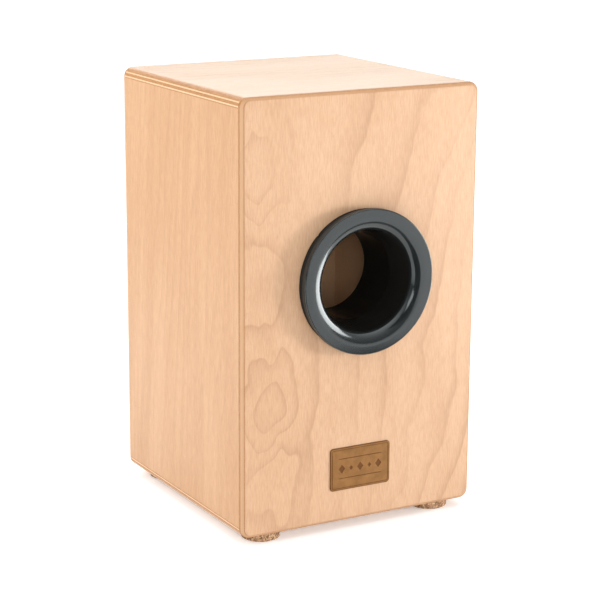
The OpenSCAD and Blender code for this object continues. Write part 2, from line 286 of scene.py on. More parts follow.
def beech_ply(
    name, axes, outside, plies, figure, seed, rings, tint_and_painted_light,
    cut=0.9, streaks=0.32, edge_colour=EDGE_PALE, seam=0.1, along_cut=1.0,
):
    """Lacquered beech plywood.

    axes names the axes across the face's grain, along it and through the board. outside is the sign
    that makes depth grow into the board, and the outer face's place on the last axis. plies are the
    depths of the glue lines. rings, cut and streaks say how strongly the rings, the cut ends of the
    fibres and the streaks show, and seam how strongly, at least, the painted shade of gaps darkens
    the innermost glue line. along_cut weakens the cut ends on the two edges that the face's grain
    runs into.
    """
    g = Graph(name)
    place = dict(zip("xyz", g.axes()))
    normal = dict(zip("xyz", g.split(g.node("TexCoord").outputs["Normal"])))
    u, v, w = (place[a] for a in axes)
    sign, start = outside
    depth = g.math("MULTIPLY_ADD", w, sign, -sign * start)

    crosswise, glue, last_glue = ply_layers(g, depth, plies)
    across = g.math("ABSOLUTE", normal[axes[0]])
    along = g.math("ABSOLUTE", normal[axes[1]])
    lengthwise = g.math("MULTIPLY_ADD", crosswise, -along_cut, along_cut)
    end_grain = g.math("MULTIPLY", lengthwise, along)
    end_grain = g.math("MULTIPLY_ADD", crosswise, across, end_grain, clamp=True)
    end_grain = g.steps(end_grain, 0.05, 0.45)
    edge = g.steps(depth, plies[0] - 0.05 * MM, plies[0] + 0.05 * MM)

    # Face: slow patches of colour, rings, leaning streaks, fibres and flecks
    patches = g.noise(g.scaled((u, v, seed), (7.0, 2.4, 1.0)), 1.0, 3.0, 0.55, 0.4)
    fibres = g.noise(g.scaled((u, v, seed), (1500.0, 55.0, 1.0)), 1.0, 3.0, 0.6)
    stipple = g.noise(g.scaled((u, v, seed + 1.0), (900.0, 80.0, 1.0)), 1.0, 2.0, 0.6)
    drift = g.noise(g.scaled((u, v, seed + 7.0), (3.0, 1.8, 1.0)), 1.0, 1.0)
    leaning = g.math("MULTIPLY_ADD", v, 0.06, g.math("MULTIPLY_ADD", drift, 0.11, u))
    bands = g.noise(g.scaled((leaning, v, seed), (55.0, 1.3, 1.0)), 1.0, 4.0, 0.72, 0.1)
    dashes = ray_flecks(g, u, v, seed)
    late = growth_rings(g, u, v, figure, seed)

    colour = g.mix(g.steps(patches, 0.3, 0.7, 0.0, 0.6), FACE_PALE, FACE_DEEP)
    colour = g.mix(g.math("MULTIPLY", late, rings), colour, RING_LINE)
    colour = g.mix(g.steps(bands, 0.35, 0.68, 0.0, streaks), colour, FACE_DEEP)
    shade = g.steps(stipple, 0.32, 0.68, 0.0, 0.66)
    shade = g.math("MULTIPLY_ADD", g.steps(fibres, 0.25, 0.75), 0.34, shade)
    # The tint scales the colour: the board's own tone and, on the top board, painted light.
    bright = rgb(*(1.06 * t for t in tint_and_painted_light))
    dim = rgb(*(t * d for t, d in zip(tint_and_painted_light, WARM)))
    colour = g.mix(1.0, colour, g.mix(shade, bright, dim), "MULTIPLY")
    colour = g.mix(g.math("MULTIPLY", dashes, 0.26), colour, FLECK)

    # Edges: cut fibres are darker than fibres seen along their length
    level = sum(tint_and_painted_light) / 3
    colour = g.mix(g.math("MULTIPLY", edge, 0.8), colour, rgb(*(level * c for c in edge_colour)))
    pores = g.noise(g.spot(), 1400.0, 2.0, 0.6)
    runs = g.noise(g.scaled((u, v, w), (120.0, 120.0, 900.0)), 1.0, 3.0, 0.6)
    pores = g.steps(g.math("ADD", pores, g.math("MULTIPLY", runs, 0.6)), 0.55, 1.05)
    ends = g.mix(pores, END_DEEP, END_PALE)
    colour = g.mix(g.math("MULTIPLY", end_grain, cut), colour, ends)
    glue_strength = g.math("MULTIPLY_ADD", edge, 0.05, 0.28)
    colour = g.mix(g.math("MULTIPLY", glue, glue_strength), colour, GLUE)
    # Painted shade: dark patches along the innermost glue line, for the shade in gaps of the joint.
    gap_shade = g.noise(g.scaled((u, v, seed), (70.0, 70.0, 1.0)), 1.0, 2.0, 0.6)
    gap_shade = g.math("MULTIPLY", last_glue, g.steps(gap_shade, 0.56, 0.64, seam, 1.0))
    colour = g.mix(g.math("MULTIPLY", gap_shade, 0.75), colour, GAP_SHADE)

    rough = g.steps(patches, 0.3, 0.7, 0.36, 0.44)
    rough = g.math("MULTIPLY_ADD", end_grain, 0.18, rough)
    rough = g.math("MULTIPLY_ADD", dashes, 0.08, rough)
    height = g.math("MULTIPLY_ADD", fibres, 0.5, g.math("MULTIPLY", dashes, -0.8))
    height = g.math("MULTIPLY_ADD", glue, -1.2, height)
    return g.surface(
        Base_Color=colour,
        Roughness=rough,
        Normal=g.bump(height, 0.05 * MM, 0.6),
        Specular_IOR_Level=0.25,
        Coat_Weight=0.25,
        Coat_Roughness=0.22,
    )


def raw_wood(name, axes, pale, deep, relief):
    """Planed, unlacquered wood with straight grain. relief is how far its bands stand out."""
    g = Graph(name)
    place = dict(zip("xyz", g.axes()))
    triple = [place[a] for a in axes]
    bands = g.noise(g.scaled(triple, (260.0, 6.0, 260.0)), 1.0, 4.0, 0.6, 0.3)
    fibres = g.noise(g.scaled(triple, (1800.0, 60.0, 1800.0)), 1.0, 2.0, 0.6)
    flecks = g.noise(g.scaled(triple, (1200.0, 200.0, 1200.0)), 1.0, 1.0)
    colour = g.mix(g.steps(bands, 0.3, 0.7), pale, deep)
    colour = g.mix(g.math("MULTIPLY", g.steps(flecks, 0.68, 0.76), 0.35), colour, FLECK)
    grain = g.math("ADD", g.math("MULTIPLY", fibres, 0.7), g.math("MULTIPLY", bands, relief))
    return g.surface(
        Base_Color=colour,
        Roughness=g.steps(fibres, 0.3, 0.7, 0.6, 0.75),
        Normal=g.bump(grain, 0.12 * MM, 0.7),
    )


def rim_plastic():
    """Glossy anthracite moulding with a faint orange peel and rub marks. Its outer wall is dull."""
    g = Graph("rim_plastic")
    spot = g.spot()
    x, y, z = g.axes()
    peel = g.noise(spot, 260.0, 2.0, 0.5)
    cloud = g.noise(spot, 22.0, 3.0, 0.6)
    rubs = g.noise(g.scaled((x, y, z), (90.0, 90.0, 1300.0)), 1.0, 3.0, 0.7, 0.5)
    dust = g.steps(g.noise(spot, 1500.0, 1.0), 0.72, 0.8)
    colour = g.mix(cloud, rgb(0.010, 0.012, 0.0125), rgb(0.016, 0.0185, 0.019))
    colour = g.mix(g.math("MULTIPLY", dust, 0.15), colour, rgb(0.35, 0.33, 0.3))
    rough = g.steps(cloud, 0.3, 0.7, 0.12, 0.16)
    rough = g.math("MULTIPLY_ADD", g.steps(rubs, 0.6, 0.75), 0.06, rough)
    behind = g.steps(y, RIM_LOW.y + 1.1 * MM, RIM_LOW.y + 1.5 * MM)
    from_axis = g.point(x, 0.0, g.math("SUBTRACT", z, TUBE_Z))
    radius = g.node("VectorMath", {0: from_axis}, operation="LENGTH").outputs["Value"]
    wall = g.math("MULTIPLY", behind, g.steps(radius, RIM_R - 1 * MM, RIM_R - 0.5 * MM))
    rough = g.math("MULTIPLY_ADD", wall, 0.6, rough)
    return g.surface(
        Base_Color=colour,
        Roughness=rough,
        Normal=g.bump(peel, 0.05 * MM, 0.12),
        Specular_IOR_Level=0.75,
        Specular_Tint=rgb(0.92, 0.99, 1.0),
        Coat_Weight=0.15,
        Coat_Roughness=0.12,
    )


def pipe_plastic():
    """Black glossy plastic with the faint rings of its extrusion."""
    g = Graph("pipe_plastic")
    along = g.math("MULTIPLY", g.axes()[1], 900.0)
    lines = g.noise(g.point(0.0, along, 0.0), 1.0, 3.0, 0.7)
    cloud = g.noise(g.spot(), 30.0, 2.0)
    return g.surface(
        Base_Color=g.mix(cloud, rgb(0.007, 0.0066, 0.0055), rgb(0.011, 0.010, 0.0085)),
        Roughness=g.steps(cloud, 0.3, 0.7, 0.16, 0.26),
        Normal=g.bump(lines, 0.03 * MM, 0.4),
        Specular_IOR_Level=0.3,
    )


def foam():
    """Closed-cell foam: matte black with fine pits."""
    g = Graph("foam_black")
    pits = g.cells(g.spot(), 1100.0)
    lumps = g.noise(g.spot(), 240.0, 3.0, 0.6)
    colour = g.mix(g.steps(pits, 0.1, 0.5), rgb(0.006, 0.006, 0.006), rgb(0.020, 0.019, 0.018))
    return g.surface(
        Base_Color=g.mix(g.math("MULTIPLY", lumps, 0.4), colour, rgb(0.03, 0.028, 0.026)),
        Roughness=g.steps(pits, 0.1, 0.6, 0.98, 0.82),
        Normal=g.bump(g.math("MULTIPLY_ADD", lumps, 0.6, pits), 0.35 * MM, 0.8),
        Specular_IOR_Level=0.25,
    )


def cork():
    """Pressed cork and rubber granulate: grains of many browns with dark gaps."""
    g = Graph("cork_granulate")
    grains_per_m = 520.0
    grain = g.cells(g.spot(), grains_per_m, output="Color")
    tone = g.node("SeparateColor", {0: grain}).outputs[0]
    gap = g.cells(g.spot(), grains_per_m, feature="DISTANCE_TO_EDGE")
    fine = g.noise(g.spot(), 1900.0, 2.0)
    colour = g.ramp(tone, [
        (0.0, rgb(0.16, 0.08, 0.04)),
        (0.25, rgb(0.42, 0.24, 0.13)),
        (0.6, rgb(0.70, 0.44, 0.25)),
        (0.85, rgb(0.88, 0.62, 0.40)),
        (1.0, rgb(0.30, 0.15, 0.075)),
    ])
    colour = g.mix(g.steps(gap, 0.0, 0.09, 0.7, 0.0), colour, rgb(0.10, 0.05, 0.025))
    colour = g.mix(g.math("MULTIPLY", fine, 0.3), colour, rgb(0.25, 0.14, 0.08))
    height = g.math("MULTIPLY_ADD", fine, 0.25, g.steps(gap, 0.0, 0.15))
    return g.surface(
        Base_Color=colour,
        Roughness=g.steps(tone, 0.0, 1.0, 0.75, 0.92),
        Normal=g.bump(height, 0.4 * MM, 0.9),
        Specular_IOR_Level=0.3,
    )


def badge_brown():
    """A tan plate whose engraved lines and outer edge are burnt dark."""
    g = Graph("badge_brown")
    x, y, z = g.axes()
    sunk = g.math("SUBTRACT", y, BADGE_LOW.y)
    middle = (BADGE_LOW.z + BADGE_HIGH.z) / 2
    half = (BADGE_HIGH.z - BADGE_LOW.z) / 2
    inset_x = g.math("SUBTRACT", BADGE_HIGH.x, g.math("ABSOLUTE", x))
    inset_z = g.math("SUBTRACT", half, g.math("ABSOLUTE", g.math("SUBTRACT", z, middle)))
    inset = g.math("MINIMUM", inset_x, inset_z)
    cloud = g.noise(g.spot(), 90.0, 4.0, 0.6)
    mottle = g.noise(g.spot(), 700.0, 3.0, 0.6)
    burnt = rgb(0.12, 0.042, 0.010)
    colour = g.mix(g.steps(cloud, 0.3, 0.7), rgb(0.265, 0.127, 0.039), rgb(0.205, 0.094, 0.027))
    colour = g.mix(g.steps(mottle, 0.45, 0.75, 0.0, 0.35), colour, rgb(0.19, 0.085, 0.028))
    colour = g.mix(g.steps(sunk, 0.12 * MM, 0.35 * MM, 0.0, 0.92), colour, burnt)
    colour = g.mix(g.steps(inset, 0.4 * MM, 1.6 * MM, 0.8, 0.0), colour, burnt)
    return g.surface(
        Base_Color=colour,
        Roughness=g.steps(cloud, 0.3, 0.7, 0.48, 0.6),
        Normal=g.bump(g.math("MULTIPLY_ADD", mottle, 0.7, cloud), 0.08 * MM, 0.6),
        Specular_IOR_Level=0.2,
    )


def steel(name, colour, rough, brush):
    """Drawn or blackened steel with fine marks. brush holds their number per metre on each axis."""
    g = Graph(name)
    lines = g.noise(g.scaled(g.axes(), brush), 1.0, 2.0, 0.6)
    blotch = g.noise(g.spot(), 300.0, 3.0, 0.6)
    dim = rgb(*(0.7 * c for c in colour[:3]))
    return g.surface(
        Base_Color=g.mix(g.steps(blotch, 0.35, 0.7), colour, dim),
        Metallic=1.0,
        Roughness=g.steps(g.math("ADD", lines, blotch), 0.6, 1.4, rough, rough + 0.15),
        Normal=g.bump(lines, 0.02 * MM, 0.5),
    )


SIDE_X = BACK_HIGH.x

MATERIALS = {
    "back": beech_ply(
        "beech_ply_back", "xzy", (1, REAR_Y), BACK_PLIES, rotary_figure,
        seed=0.15, rings=0.52, tint_and_painted_light=(0.716, 0.757, 0.825),
        cut=1.0, edge_colour=EDGE_BROWN, seam=0.8, along_cut=0.4,
    ),
    "front": beech_ply(
        "beech_ply_front", "xzy", (-1, FRONT_HIGH.y), FRONT_PLIES, rotary_figure,
        seed=0.62, rings=0.52, tint_and_painted_light=(0.80, 0.80, 0.80),
    ),
    "left": beech_ply(
        "beech_ply_left", "yzx", (1, -SIDE_X), SIDE_PLIES, straight_figure,
        seed=0.31, rings=0.28, tint_and_painted_light=(0.768, 0.748, 0.70), streaks=0.8,
    ),
    "right": beech_ply(
        "beech_ply_right", "yzx", (-1, SIDE_X), SIDE_PLIES, straight_figure,
        seed=0.83, rings=0.28, tint_and_painted_light=(0.88, 0.855, 0.80), streaks=0.8,
    ),
    # The top board's tint is paler and bluer than the others': painted light and sheen for the
    # strong light on the top.
    "top": beech_ply(
        "beech_ply_top", "yxz", (-1, BOX_HIGH_Z), BOARD_PLIES, straight_figure,
        seed=0.47, rings=0.34, tint_and_painted_light=(0.82, 0.915, 1.0),
    ),
    "bottom": beech_ply(
        "beech_ply_bottom", "yxz", (1, BOX_LOW_Z), BOARD_PLIES, straight_figure,
        seed=0.71, rings=0.34, tint_and_painted_light=(0.90, 0.90, 0.90),
    ),
    "batten": raw_wood("batten_wood", "xyz", rgb(0.62, 0.40, 0.22), rgb(0.48, 0.29, 0.15), 0.4),
    "bar": raw_wood("bar_wood", "yxz", rgb(0.60, 0.38, 0.20), rgb(0.47, 0.28, 0.14), 0.5),
    "rim": rim_plastic(),
    "pipe": pipe_plastic(),
    "foam": foam(),
    "cork": cork(),
    "badge": badge_brown(),
    "screw": steel("screw_steel", rgb(0.05, 0.05, 0.052), 0.35, (900.0, 90.0, 90.0)),
    "snare": steel("snare_steel", rgb(0.62, 0.61, 0.58), 0.22, (90.0, 90.0, 900.0)),
}


# ---------------------------------------------------------------- mesh helpers

def skin(bm, loops, ends):
    """Faces between a row of closed loops.

    ends is "cap" for two end faces, or "join" for a closed ring.
    """
    rows = [[bm.verts.new(p) for p in loop] for loop in loops]
    pairs = list(zip(rows, rows[1:]))
    if ends == "join":
        pairs.append((rows[-1], rows[0]))
    for low, high in pairs:
        for i in range(len(low)):
            j = (i + 1) % len(low)
            bm.faces.new((low[i], low[j], high[j], high[i]))
    if ends == "cap":
        bm.faces.new(rows[0][::-1])
        bm.faces.new(rows[-1])


def to_piece(name, bm, material, body, replaced, sharp=35):
    """Makes a piece of the model from a mesh: smooth, its sharp edges kept, riding on its body."""
    bmesh.ops.recalc_face_normals(bm, faces=bm.faces)
    mesh = bpy.data.meshes.new(name)
    bm.to_mesh(mesh)
    bm.free()
    mesh.polygons.foreach_set("use_smooth", [True] * len(mesh.polygons))
    mesh.set_sharp_from_angle(angle=math.radians(sharp))
    mesh.materials.append(MATERIALS[material])
    piece = bpy.data.objects.new(name, mesh)
    bpy.context.scene.collection.objects.link(piece)
    normals = piece.modifiers.new("normals", "WEIGHTED_NORMAL")
    normals.keep_sharp = True
    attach(piece, body)
    if replaced:
        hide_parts(*replaced)
    return piece


def arc(start, end, count):
    """count + 1 angles from start to end, in degrees, as pairs of cosine and sine."""
    turns = [math.radians(start + (end - start) * i / count) for i in range(count + 1)]
    return [(math.cos(a), math.sin(a)) for a in turns]


def circle(count):
    """count angles round a full turn, as pairs of cosine and sine."""
    return arc(0, 360 - 360 / count, count - 1)


def subdivide(points, longest):
    """A closed outline with extra points, so that no stretch is longer than longest."""
    result = []
    for p, q in zip(points, points[1:] + points[:1]):
        parts = max(1, math.ceil(math.dist(p, q) / longest))
        for i in range(parts):
            result.append(tuple(a + (b - a) * i / parts for a, b in zip(p, q)))
    return result


def round_rectangle(low, high, radius, count=8):
    """A rectangle with round corners, from its low corner to its high one."""
    centres = [
        (high[0] - radius, high[1] - radius, 0), (low[0] + radius, high[1] - radius, 90),
        (low[0] + radius, low[1] + radius, 180), (high[0] - radius, low[1] + radius, 270),
    ]
    return [
        (cx + radius * c, cy + radius * s)
        for cx, cy, start in centres
        for c, s in arc(start, start + 90, count)
    ]


def box_outline(inset):
    """The box seen from behind, pulled in by inset, with points no further apart than a step."""
    low = (BACK_LOW.x + inset, BOX_LOW_Z + inset)
    high = (BACK_HIGH.x - inset, BOX_HIGH_Z - inset)
    return subdivide(round_rectangle(low, high, EDGE_R - inset), OUTLINE_STEP)


def round_over(radius, count):
    """Steps of a quarter round, from the wall to the face.

    Each says how far in from the edge it is, and how far down from the face.
    """
    steps = [(radius * (1 - s), radius * (1 - c)) for c, s in arc(0, 90, count)]
    return steps[::-1]


def solids(node):
    """The boxes of a CAD node's separate solids, from its own mesh."""
    bm = bmesh.new()
    bm.from_mesh(frame["nodes"][node].data)
    bmesh.ops.remove_doubles(bm, verts=bm.verts, dist=1e-6)
    seen, boxes = set(), []
    for first in bm.verts:
        if first in seen:
            continue
        group, waiting = {first}, [first]
        while waiting:
            vert = waiting.pop()
            for link in vert.link_edges:
                other = link.other_vert(vert)
                if other not in group:
                    group.add(other)
                    waiting.append(other)
        seen |= group
        spots = [v.co for v in group]
        low = Vector([min(s[i] for s in spots) for i in range(3)])
        high = Vector([max(s[i] for s in spots) for i in range(3)])
        boxes.append((low, high))
    bm.free()
    return boxes


def cut(bm, cutters):
    """The mesh bm with the closed meshes cutters taken away."""
    made = []
    for source in (bm, *cutters):
        bmesh.ops.recalc_face_normals(source, faces=source.faces)
        mesh = bpy.data.meshes.new("cut")
        source.to_mesh(mesh)
        source.free()
        thing = bpy.data.objects.new("cut", mesh)
        bpy.context.scene.collection.objects.link(thing)
        made.append(thing)
    body = made[0]
    for cutter in made[1:]:
        modifier = body.modifiers.new("cut", "BOOLEAN")
        modifier.operation = "DIFFERENCE"
        modifier.solver = "EXACT"
        modifier.object = cutter
    bpy.context.view_layer.update()
    graph = bpy.context.evaluated_depsgraph_get()
    result = bmesh.new()
    result.from_mesh(body.evaluated_get(graph).to_mesh())
    for thing in made:
        mesh = thing.data
        bpy.data.objects.remove(thing)
        bpy.data.meshes.remove(mesh)
    return result


def absorb(group, bm):
    """Adds the mesh bm to the mesh group, and frees bm."""
    mesh = bpy.data.meshes.new("part")
    bm.to_mesh(mesh)
    bm.free()
    group.from_mesh(mesh)
    bpy.data.meshes.remove(mesh)


def turned(profile, count, place):
    """A closed solid of revolution round +Z, moved by place. profile holds radii and heights."""
    bm = bmesh.new()
    spots = circle(count)
    skin(bm, [[place @ Vector((r * c, r * s, h)) for c, s in spots] for r, h in profile], "cap")
    return bm


# ---------------------------------------------------------------- wooden box

def panel_loops(face_y, inner_y, rounding):
    """Loops of an upright plate from its inner face, round its outer edge, to its outer face."""
    def outline(inset, y):
        return [(x, y, z) for x, z in box_outline(inset)]

    into = 1 if inner_y > face_y else -1
    loops = [outline(JOINT_BEVEL, inner_y), outline(0, inner_y - into * JOINT_BEVEL)]
    for inset, drop in round_over(rounding, 6):
        loops.append(outline(inset, face_y + into * drop))
    return loops


def back_panel():
    """The rear plate and its hole. All its loops get as many points as the largest one."""
    count = len(box_outline(0))
    loops = []
    for loop in panel_loops(REAR_Y, BACK_HIGH.y, EDGE_ROUND):
        loops.append(loop[:count] + loop[-1:] * (count - len(loop)))
    for y, radius in (
        (REAR_Y, HOLE_R + HOLE_LIP), (REAR_Y + HOLE_LIP, HOLE_R),
        (BACK_HIGH.y - HOLE_LIP, HOLE_R), (BACK_HIGH.y, HOLE_R + HOLE_LIP),
    ):
        ring = []
        for x, _, z in loops[0]:
            angle = math.atan2(z - TUBE_Z, x)
            ring.append((radius * math.cos(angle), y, TUBE_Z + radius * math.sin(angle)))
        loops.append(ring)
    bm = bmesh.new()
    skin(bm, loops, "join")
    to_piece("back_panel_board", bm, "back", "box", ["back_panel"])


def screw_places():
    """The middle of each screw head on the playing surface."""
    return [((low.x + high.x) / 2, (low.z + high.z) / 2) for low, high in solids("front_screws")]


SCREW_BOX = solids("front_screws")[0]
SCREW_HEAD_R = (SCREW_BOX[1].x - SCREW_BOX[0].x) / 2
SCREW_HEAD_H = 1.9 * MM
SCREW_SHANK_R = 1.75 * MM
SCREW_SIDES = 32


def facing_front(x, z):
    """A frame whose origin is on the playing surface and whose +Z points out of it."""
    return Matrix.Translation((x, FRONT_HIGH.y, z)) @ Matrix.Rotation(-math.pi / 2, 4, "X")


def playing_surface():
    """The thin front plate with a countersunk hole for each screw."""
    bm = bmesh.new()
    skin(bm, panel_loops(FRONT_HIGH.y, FRONT_LOW.y, FRONT_ROUND), "cap")
    mouth_r = SCREW_HEAD_R + 0.15 * MM
    sink = [
        (SCREW_SHANK_R, -4 * MM), (SCREW_SHANK_R, -SCREW_HEAD_H),
        (mouth_r, 0.1 * MM), (mouth_r, 1 * MM),
    ]
    holes = bmesh.new()
    for x, z in screw_places():
        absorb(holes, turned(sink, SCREW_SIDES, facing_front(x, z)))
    to_piece(
        "playing_surface_board", cut(bm, [holes]), "front", "box",
        ["playing_surface"],
    )


def front_screws():
    """Countersunk screws with a cross recess, one mesh copied to each place."""
    length = SCREW_BOX[1].y - SCREW_BOX[0].y
    edge = 0.12 * MM
    recess = Matrix.Diagonal((3.6 * MM, 0.8 * MM, 2.4 * MM, 1.0))
    spin = 37
    profile = [
        (0.3 * MM, -length), (SCREW_SHANK_R * 0.75, -length + 3 * MM),
        (SCREW_SHANK_R * 0.9, -SCREW_HEAD_H), (SCREW_HEAD_R - edge, -edge * 2),
        (SCREW_HEAD_R, -edge), (SCREW_HEAD_R - edge, 0.0),
    ]
    slots = []
    for quarter in (0, 1):
        slot = bmesh.new()
        bmesh.ops.create_cube(slot, size=1.0)
        slot.transform(Matrix.Rotation(math.pi / 2 * quarter, 4, "Z") @ recess)
        slots.append(slot)
    screw = cut(turned(profile, SCREW_SIDES, Matrix.Identity(4)), slots)
    group = bmesh.new()
    for index, (x, z) in enumerate(screw_places()):
        turn = Matrix.Rotation(math.radians(spin * index % 90), 4, "Z")
        copy = screw.copy()
        copy.transform(facing_front(x, z) @ turn)
        absorb(group, copy)
    screw.free()
    to_piece("front_screw_set", group, "screw", "box", ["front_screws"], 30)


def end_board(name, low, high, up, material):
    """The top or bottom board: its two long edges are round on the side that up points to."""
    def section(inset):
        half = BOX_W / 2 - inset
        radius = EDGE_R - inset
        face = (high.z if up > 0 else low.z) - up * inset
        inner = (low.z if up > 0 else high.z) + up * inset
        right = [
            (half - radius + radius * c, face - up * radius * (1 - s))
            for c, s in arc(0, 90, 10)
        ]
        left = [(-x, z) for x, z in reversed(right)]
        return [(half, inner), *right, *left, (-half, inner)]

    stations = [
        (low.y, JOINT_BEVEL), (low.y + JOINT_BEVEL, 0),
        (high.y - JOINT_BEVEL, 0), (high.y, JOINT_BEVEL),
    ]
    bm = bmesh.new()
    skin(bm, [[(x, y, z) for x, z in section(inset)] for y, inset in stations], "cap")
    to_piece(name + "_slab", bm, material, "box", [name])


def side_board(name, material):
    """The left or right board, a plain slab between the two plates."""
    low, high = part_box(name)
    bm = bmesh.new()
    bmesh.ops.create_cube(bm, size=1.0)
    size = high - low
    bm.transform(Matrix.Translation((low + high) / 2) @ Matrix.Diagonal((*size, 1.0)))
    edges = bm.edges[:]
    bmesh.ops.bevel(bm, geom=edges, offset=JOINT_BEVEL, segments=2, profile=0.5, affect="EDGES")
    to_piece(name + "_board", bm, material, "box", [name])


back_panel()
playing_surface()
front_screws()
end_board("top_board", TOP_LOW, TOP_HIGH, 1, "top")
end_board("bottom_board", BOTTOM_LOW, BOTTOM_HIGH, -1, "bottom")
side_board("left_side", "left")
side_board("right_side", "right")


def finish_node(name, material, slot, bevel=0.0):
    """A CAD node that keeps its own mesh gets a material, and soft edges where bevel is given."""
    thing = frame["nodes"][name]
    thing.data.materials.clear()
    thing.data.materials.append(MATERIALS[material])
    if bevel:
        edges = thing.modifiers.new("edges", "BEVEL")
        edges.width = bevel
        edges.segments = 2
        edges.limit_method = "ANGLE"
        edges.angle_limit = math.radians(40)


for corner in ("top_left", "top_right", "bottom_left", "bottom_right"):
    finish_node(corner + "_batten", "batten", "batten_wood", 0.5 * MM)


# ---------------------------------------------------------------- badge and feet

def badge():
    """A rounded plate with a grooved border and a plain row of lozenges between two lines."""
    middle_z = (BADGE_LOW.z + BADGE_HIGH.z) / 2
    half_w = (BADGE_HIGH.x - BADGE_LOW.x) / 2
    half_h = (BADGE_HIGH.z - BADGE_LOW.z) / 2
    corner = 4 * MM
    border, border_w = 2.2 * MM, 0.7 * MM
    line_half, line_w, line_z = 30 * MM, 0.9 * MM, 11.5 * MM
    lozenge_pitch, large, small = 12 * MM, 5.5 * MM, 3.2 * MM
    over, under = BADGE_LOW.y - 0.2 * MM, BADGE_LOW.y + 0.45 * MM

    def outline(inset, y):
        low = (-half_w + inset, -half_h + inset)
        high = (half_w - inset, half_h - inset)
        return [(x, y, middle_z + z) for x, z in round_rectangle(low, high, corner - inset)]

    def groove(shape):
        """A cutter with sloping walls from an outline given relative to the badge's middle."""
        cutter = bmesh.new()
        mid_x = sum(x for x, z in shape) / len(shape)
        mid_z = sum(z for x, z in shape) / len(shape)
        rows = []
        for y, shrink in ((over, 1.0), (under, 0.9)):
            rows.append([
                (mid_x + (x - mid_x) * shrink, y, middle_z + mid_z + (z - mid_z) * shrink)
                for x, z in shape
            ])
        skin(cutter, rows, "cap")
        return cutter

    plate = bmesh.new()
    loops = [outline(0, BADGE_HIGH.y)]
    loops += [outline(inset, BADGE_LOW.y + drop) for inset, drop in round_over(0.6 * MM, 4)]
    skin(plate, loops, "cap")

    ring = bmesh.new()
    inner = border + border_w
    corners = ((border, over), (border, under), (inner, under), (inner, over))
    skin(ring, [outline(inset, y) for inset, y in corners], "join")
    cutters = [ring]
    for low in (line_z, -line_z):
        high = low + line_w
        shape = [(-line_half, low), (line_half, low), (line_half, high), (-line_half, high)]
        cutters.append(groove(shape))
    for step in range(-2, 3):
        size = large if step % 2 == 0 else small
        x = step * lozenge_pitch
        cutters.append(groove([(x - size * 0.8, 0), (x, -size), (x + size * 0.8, 0), (x, size)]))
    to_piece("badge_plate", cut(plate, cutters), "badge", "box", ["badge"], 25)


def scatter(i, row, seed):
    """A number from 0 to 1 that looks random and is the same in every run."""
    value = math.sin(i * 12.9898 + row * 78.233 + seed * 37.719) * 43758.5453
    return value - math.floor(value)


def foot(name, seed):
    """A cut disc of granulate: its wall and lower edge are slightly ragged."""
    low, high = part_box(name)
    middle = (low + high) / 2
    radius = (high.x - low.x) / 2
    height = high.z - low.z
    ragged = 0.35 * MM
    chamfer = 1.0 * MM
    profile = [(radius - chamfer, 0.0), (radius - 0.3 * MM, 0.4 * MM)]
    profile += [(radius, chamfer + (height - chamfer) * i / 8) for i in range(9)]
    loops = []
    for row, (r, h) in enumerate(profile):
        loop = []
        for i, (c, s) in enumerate(circle(160)):
            reach = r - ragged * scatter(i, row, seed)
            loop.append((middle.x + reach * c, middle.y + reach * s, low.z + h))
        loops.append(loop)
    bm = bmesh.new()
    skin(bm, loops, "cap")
    to_piece(name + "_disc", bm, "cork", "box", [name], 50)


badge()
for number, place in enumerate(("front_left", "front_right", "rear_left", "rear_right")):
    foot("foot_" + place, number)


# ---------------------------------------------------------------- bass tube

# +Z of this frame points out of the back panel along the tube's axis, from the panel's rear face.
TUBE = Matrix.Translation((0, REAR_Y, TUBE_Z)) @ Matrix.Rotation(math.pi / 2, 4, "X")
RIM_PROUD = REAR_Y - RIM_LOW.y
RIM_BACK = REAR_Y - GASKET_LOW.y
THROAT_TOP = REAR_Y - THROAT_LOW.y
THROAT_END = REAR_Y - THROAT_HIGH.y
PIPE_START = REAR_Y - PIPE_LOW.y
PIPE_END = REAR_Y - PIPE_HIGH.y
FLARE_LOW_R = FLARE_R - FLARE_IN * math.sin(FLARE_END)
FLARE_LOW_H = RIM_PROUD - FLARE_DEEP * (1 - math.cos(FLARE_END))
SEAT_R = GASKET_IN - 2 * MM


def cone_r(height):
    """Radius of the throat's cone at a height on the tube's axis."""
    return BORE_R + (FLARE_LOW_R - BORE_R) * (height - PIPE_START) / (FLARE_LOW_H - PIPE_START)


def ring_piece(name, profile, count, material, replaced):
    """A ring turned round the tube's axis from a closed profile of radius and height."""
    bm = bmesh.new()
    spots = circle(count)
    skin(bm, [[TUBE @ Vector((r * c, r * s, h)) for c, s in spots] for r, h in profile], "join")
    to_piece(name, bm, material, "bass_tube", replaced, 30)


def rim():
    """The glossy ring: its flat face, its round outer edge and the flare that leads inwards."""
    ease = 0.3 * MM
    flare_steps = 24
    back = [
        (RIM_R - ease, RIM_BACK), (RIM_R - ease * 0.3, RIM_BACK + ease * 0.3),
        (RIM_R, RIM_BACK + ease),
    ]
    outer = [(RIM_R - inset, RIM_PROUD - drop) for inset, drop in round_over(RIM_ROUND, 8)]
    flat = RIM_R - RIM_ROUND - FLARE_R
    face = [(RIM_R - RIM_ROUND - flat * i / 4, RIM_PROUD) for i in range(1, 4)]
    flare = []
    for i in range(flare_steps + 1):
        a = FLARE_END * i / flare_steps
        flare.append((FLARE_R - FLARE_IN * math.sin(a), RIM_PROUD - FLARE_DEEP * (1 - math.cos(a))))
    seat = [
        (cone_r(THROAT_TOP), THROAT_TOP), (SEAT_R, THROAT_TOP), (SEAT_R + 1 * MM, RIM_BACK),
    ]
    profile = back + outer + face + flare + seat
    ring_piece("rim_shell", profile, 192, "rim", ["tube_rim"])


